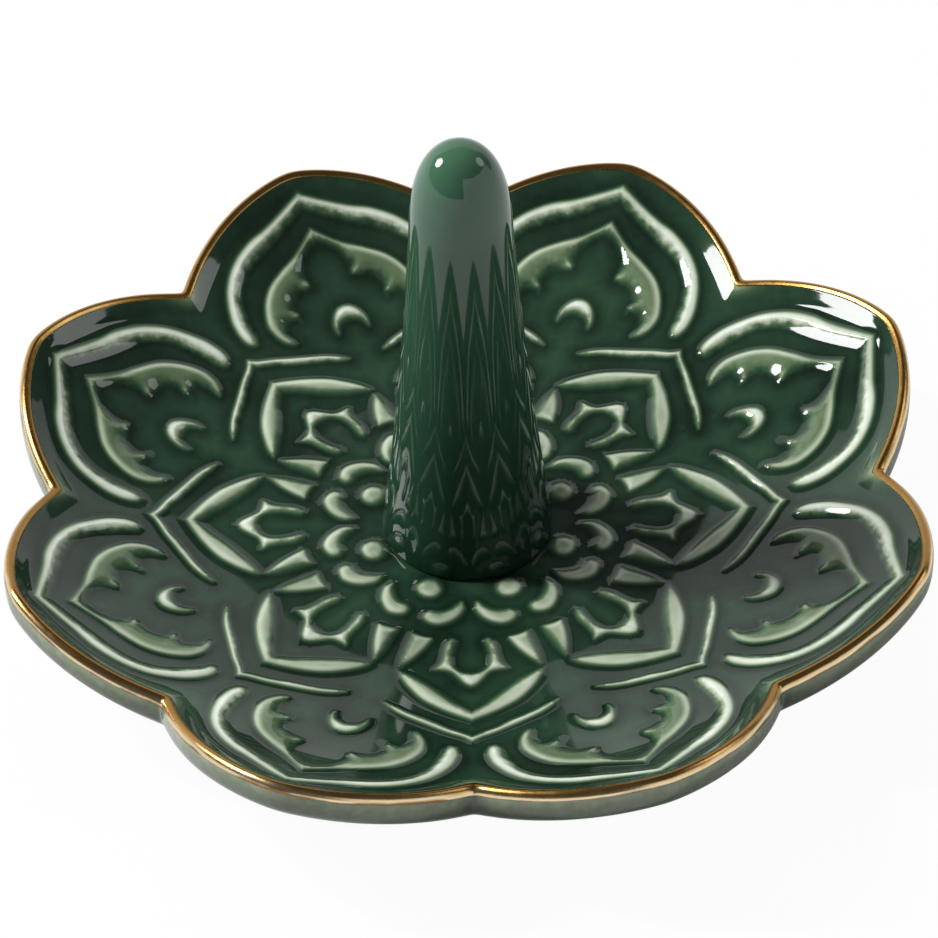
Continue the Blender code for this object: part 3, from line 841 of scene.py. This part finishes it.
cone = {
    "radius": 9.4 * mm,
    "heel": 1 * mm,
    "upperRadius": 5.38 * mm,    # at the height below; from there the cone widens ever faster
    "upperHeight": 51 * mm,
    "upperTaper": 0.055,
    "domeHeight": 10.4 * mm,
    "domeSharpness": 2.9,
    "domePower": 0.44,
    "boreRadius": 3.2 * mm,
    "boreHeight": 36 * mm,
    "boreTip": ((0.8, 1.0), (0.5, 0.3), (0, 0)),  # radius and depth below its end, in bore radii
    "steps": 96,
    "rows": {"dome": 32, "side": 25, "heel": 8},
    "colours": {  # from the floor to the top
        0.0: (0.0096, 0.0312, 0.0174),
        0.12: (0.016, 0.052, 0.029),
        0.80: (0.03265, 0.0916, 0.05195),
        1.0: (0.053, 0.140, 0.080),
    },
    "clouds": (300.0, 3.0, 0.12),                # noise scale, detail and strength in the tone
    "roughness": (500.0, 2.0, 0.025, 0.06),      # noise scale, detail, lowest and highest
    "ripple": (120.0, 1.0, 0.2, 0.08 * mm),      # noise scale, detail, strength and depth
}


def coneMaterial(lowest, highest):
    material, tree, shader = newMaterial("coneGlaze", Roughness=0.04, IOR=glaze["ior"])
    place = addNode(tree, "ShaderNodeSeparateXYZ")
    tree.links.new(addNode(tree, "ShaderNodeTexCoord").outputs["Object"], place.inputs[0])
    share = spread(tree, place.outputs["Z"], 0.0, 1.0, lowest, highest)
    varied = clouded(tree, share, *cone["clouds"])
    colour = colourRamp(tree, varied, cone["colours"])
    finishSurface(tree, shader, colour, cone["roughness"], cone["ripple"])
    return material


def makeCone():
    low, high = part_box("ring_cone")
    contact = cone["radius"] - cone["heel"]
    domeZ = high.z - cone["domeHeight"]
    baseZ = floorZ + cone["heel"]

    def straight(z):
        return cone["upperRadius"] + cone["upperTaper"] * (cone["upperHeight"] - z)

    def sideRadius(z):
        share = (cone["upperHeight"] - z) / (cone["upperHeight"] - baseZ)
        return straight(z) + (cone["radius"] - straight(baseZ)) * share ** 2

    rows = cone["rows"]
    profile = [(0, high.z)]
    for angle in np.linspace(math.pi / 2, 0, rows["dome"] + 1)[1:]:
        rise = math.sin(angle)
        z = domeZ + cone["domeHeight"] * rise
        profile.append((sideRadius(z) * (1 - rise ** cone["domeSharpness"]) ** cone["domePower"], z))
    for z in np.linspace(domeZ, baseZ, rows["side"] + 1)[1:]:
        profile.append((sideRadius(z), z))
    for angle in np.linspace(0, math.pi / 2, rows["heel"] + 1)[1:]:
        profile.append((contact + cone["heel"] * math.cos(angle),
                        floorZ + cone["heel"] * (1 - math.sin(angle))))
    bore, boreEnd = cone["boreRadius"], low.z + cone["boreHeight"]
    profile += [(contact, low.z), (bore, low.z)]
    profile += [(bore * radius, boreEnd - bore * depth) for radius, depth in cone["boreTip"]]
    obj = buildTurned("ring_post", profile[::-1], cone["steps"], coneMaterial(floorZ, high.z))
    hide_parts("ring_cone")
    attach(obj, "root")
    print("cone:", len(obj.data.polygons), "faces")


# the bare clay under the dish

clay = {
    "footEdge": 0.5 * mm,
    "footInner": 23.4 * mm,
    "steps": 160,
    "edgeRows": 5,
    "colours": {  # from the darker grains to the clay between them
        0.35: (0.44, 0.39, 0.31),
        0.6: (0.58, 0.52, 0.43),
    },
    "grains": (2200.0, 6.0),                     # noise scale and detail
    "roughness": (1500.0, 4.0, 0.75, 0.95),      # noise scale, detail, lowest and highest
    "grit": (3500.0, 6.0, 0.5, 0.08 * mm),       # noise scale, detail, strength and depth
}


def clayMaterial():
    material, tree, shader = newMaterial("bareClay", Roughness=0.85)
    colour = colourRamp(tree, noise(tree, *clay["grains"]), clay["colours"])
    finishSurface(tree, shader, colour, clay["roughness"], clay["grit"])
    return material


def makeFoot(material):
    low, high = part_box("foot_ring")
    outer, inner, edge = high.x, clay["footInner"], clay["footEdge"]
    turn = np.linspace(0, math.pi / 2, clay["edgeRows"] + 1)
    profile = [(inner, high.z)]
    for angle in turn:
        profile.append((inner + edge - edge * math.cos(angle), low.z + edge - edge * math.sin(angle)))
    for angle in turn:
        profile.append((outer - edge + edge * math.sin(angle), low.z + edge - edge * math.cos(angle)))
    profile += [(outer, high.z), (inner, high.z)]
    obj = buildTurned("foot", profile, clay["steps"], material)
    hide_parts("foot_ring")
    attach(obj, "root")
    print("foot:", len(obj.data.polygons), "faces")


# studio

studio = {
    "sweepRadius": 2.0,
    "flatShare": 0.5,
    "flatRows": (0.1, 0.4, 0.7, 1.0),
    "sweepSteps": (128, 19),     # round the object, and up the bend
    # azimuth from +Y towards +X, and degrees up to which the paper rises there, seen from the object
    "rise": ((-180, 5), (-78, 5), (-52, 20), (-37, 40), (-28, 43), (-12, 45), (-3, 43), (3, 41), (28, 41),
             (38, 35), (52, 9), (65, 5), (180, 5)),
    # a white card on the right: how far off, its gap to the floor, and azimuth and rise at its ends
    "card": {"radius": 1.1, "gap": 0.002, "steps": 24, "from": (72.0, 25.0), "to": (171.0, 39.0)},
    "paper": (0.86, 0.86, 0.86),
    "seen": 0.96,                # how white the paper is in the picture
    "mirrored": (1.0, 0.62, -0.1, 0.23333),      # painted light: how bright the paper glows in the glaze, in front and behind, and where
    "leftward": 0.22,            # painted light: how much brighter that glow is a metre further left
    "shade": (0.2, 1.0, 0.046, 0.071),           # painted shadow: how dim the paper's glow in the glaze is close to the object and further off, and where
    # the middle of the painted shadow, off to the right of the object and a little in front
    "shadeMiddle": (0.020, -0.006, 0),
    "world": 0.10,
    "lamps": {  # azimuth from +Y, elevation, distance, size, watts, then seen in the glaze and lights
        "window": (-75.0, 37.0, 0.9, 0.34, 5.7, True, True),
        "dimWindow": (75.0, 37.0, 0.9, 0.34, 0.65, True, False),
        "key": (-76.0, 49.0, 1.0, 0.07, 5.2, False, True),
        "fill": (15.0, 55.0, 1.2, 0.8, 3.2, False, True),
    },
}


def floorMaterial():
    material, tree, shader = newMaterial("floorPaper", Roughness=0.9)
    shader.inputs["Base Color"].default_value = (*studio["paper"], 1)
    position = addNode(tree, "ShaderNodeNewGeometry").outputs["Position"]
    place = addNode(tree, "ShaderNodeSeparateXYZ")
    tree.links.new(position, place.inputs[0])
    # painted light: the paper's glow in the glaze is painted brighter in front than behind, and brighter
    # further left
    leftward = math2(tree, "MULTIPLY", place.outputs["X"], -studio["leftward"])
    bright = math2(tree, "ADD", spread(tree, place.outputs["Y"], *studio["mirrored"]),
                   math2(tree, "MAXIMUM", leftward, 0.0))
    # painted shadow: the paper's glow is dimmed round that middle, close to the object
    away = addNode(tree, "ShaderNodeVectorMath", operation="SUBTRACT")
    tree.links.new(position, away.inputs[0])
    away.inputs[1].default_value = studio["shadeMiddle"]
    reach = addNode(tree, "ShaderNodeVectorMath", operation="LENGTH")
    tree.links.new(away.outputs["Vector"], reach.inputs[0])
    bright = math2(tree, "MULTIPLY", bright, spread(tree, reach.outputs["Value"], *studio["shade"]))
    paths = addNode(tree, "ShaderNodeLightPath").outputs
    mirrored = math2(tree, "MAXIMUM", paths["Is Glossy Ray"], paths["Is Transmission Ray"])
    share = math2(tree, "MAXIMUM", math2(tree, "MULTIPLY", paths["Is Camera Ray"], studio["seen"]),
                  math2(tree, "MULTIPLY", mirrored, bright))
    mix = addNode(tree, "ShaderNodeMixShader")
    tree.links.new(share, mix.inputs[0])
    tree.links.new(shader.outputs[0], mix.inputs[1])
    tree.links.new(addNode(tree, "ShaderNodeEmission", Strength=1.0).outputs[0], mix.inputs[2])
    tree.links.new(mix.outputs[0], tree.nodes["Material Output"].inputs["Surface"])
    return material


def direction(azimuth, elevation):
    azimuth, elevation = math.radians(azimuth), math.radians(elevation)
    return Vector((math.sin(azimuth) * math.cos(elevation), math.cos(azimuth) * math.cos(elevation),
                   math.sin(elevation)))


def makeSweep(paper):
    # a round paper sweep, flat under the object, high behind it and low in front
    radius, flat, (steps, bendSteps) = studio["sweepRadius"], studio["flatShare"], studio["sweepSteps"]
    angles = np.arange(steps) * math.tau / steps
    places, degrees = zip(*studio["rise"])
    rise = np.interp((np.degrees(angles) + 180) % 360 - 180, places, degrees)
    top = radius * np.tan(np.radians(rise))
    rows = [np.column_stack([atAngle(radius * flat * share, angles), np.zeros(steps)])
            for share in studio["flatRows"]]
    for bend in np.linspace(0, math.pi / 2, bendSteps + 1)[1:]:
        reach = radius * (flat + (1 - flat) * math.sin(bend))
        rows.append(np.column_stack([atAngle(reach, angles), top * (1 - math.cos(bend))]))
    faces = [tuple(f) for f in stripFaces(len(rows), steps, close=True)]
    faces.append(tuple(range(steps))[::-1])
    buildMesh("paper_sweep", np.concatenate(rows), faces, [paper])


def makeCard(paper):
    # a white card that stands round the right of the object
    card = studio["card"]
    azimuth, rise = np.radians(np.linspace(card["from"], card["to"], card["steps"] + 1)).T
    plan = atAngle(card["radius"], azimuth)
    low = np.column_stack([plan, np.full(len(plan), card["gap"])])
    high = np.column_stack([plan, card["radius"] * np.tan(rise)])
    faces = [tuple(f) for f in stripFaces(2, len(plan))]
    buildMesh("white_card", np.concatenate([low, high]), faces, [paper])


def makeStudio():
    paper = floorMaterial()
    makeSweep(paper)
    makeCard(paper)
    world = bpy.data.worlds.new("studio")
    bpy.context.scene.world = world
    world.use_nodes = True
    shader = world.node_tree.nodes["Background"]
    shader.inputs["Color"].default_value = (1, 1, 1, 1)
    shader.inputs["Strength"].default_value = studio["world"]
    aim = Vector((0, 0, 0.5 * crestZ))
    for name, (azimuth, elevation, distance, size, watts, mirrored, lights) in studio["lamps"].items():
        lamp = bpy.data.lights.new(name, "AREA")
        lamp.shape = "DISK"
        lamp.size = size
        lamp.energy = watts
        obj = bpy.data.objects.new(name, lamp)
        obj.location = aim + direction(azimuth, elevation) * distance
        obj.rotation_euler = (obj.location - aim).to_track_quat("Z", "Y").to_euler()
        obj.visible_glossy = mirrored
        obj.visible_diffuse = lights
        bpy.context.scene.collection.objects.link(obj)


camera = {
    "focalPixels": 4241.7,
    "imageWidth": 938,
    "sensor": 36.0,
    "elevation": 43.662,
    "roll": -1.2985,
    "distance": 0.4594,
    "target": (0.00027, -0.00297, 0.0178),
    "clipStart": 0.01,
}


def makeCamera():
    data = bpy.data.cameras.new("camera")
    data.sensor_width = camera["sensor"]
    data.lens = camera["focalPixels"] / camera["imageWidth"] * camera["sensor"]
    data.clip_start = camera["clipStart"]
    obj = bpy.data.objects.new("camera", data)
    elevation = math.radians(camera["elevation"])
    target = Vector(camera["target"])
    obj.location = target + Vector((0, -math.cos(elevation), math.sin(elevation))) * camera["distance"]
    look = (obj.location - target).to_track_quat("Z", "Y").to_matrix().to_4x4()
    roll = Matrix.Rotation(math.radians(camera["roll"]), 4, "Z")
    obj.rotation_euler = (look @ roll).to_euler()
    bpy.context.scene.collection.objects.link(obj)
    bpy.context.scene.camera = obj
    bpy.context.scene.view_settings.view_transform = "Standard"


makeCamera()
makeStudio()
makeDish()
makeGilt()
makeCone()
bareClay = clayMaterial()
makeFoot(bareClay)
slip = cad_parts["cone_slip_joint"]
slip.data.materials.clear()
slip.data.materials.append(bareClay)
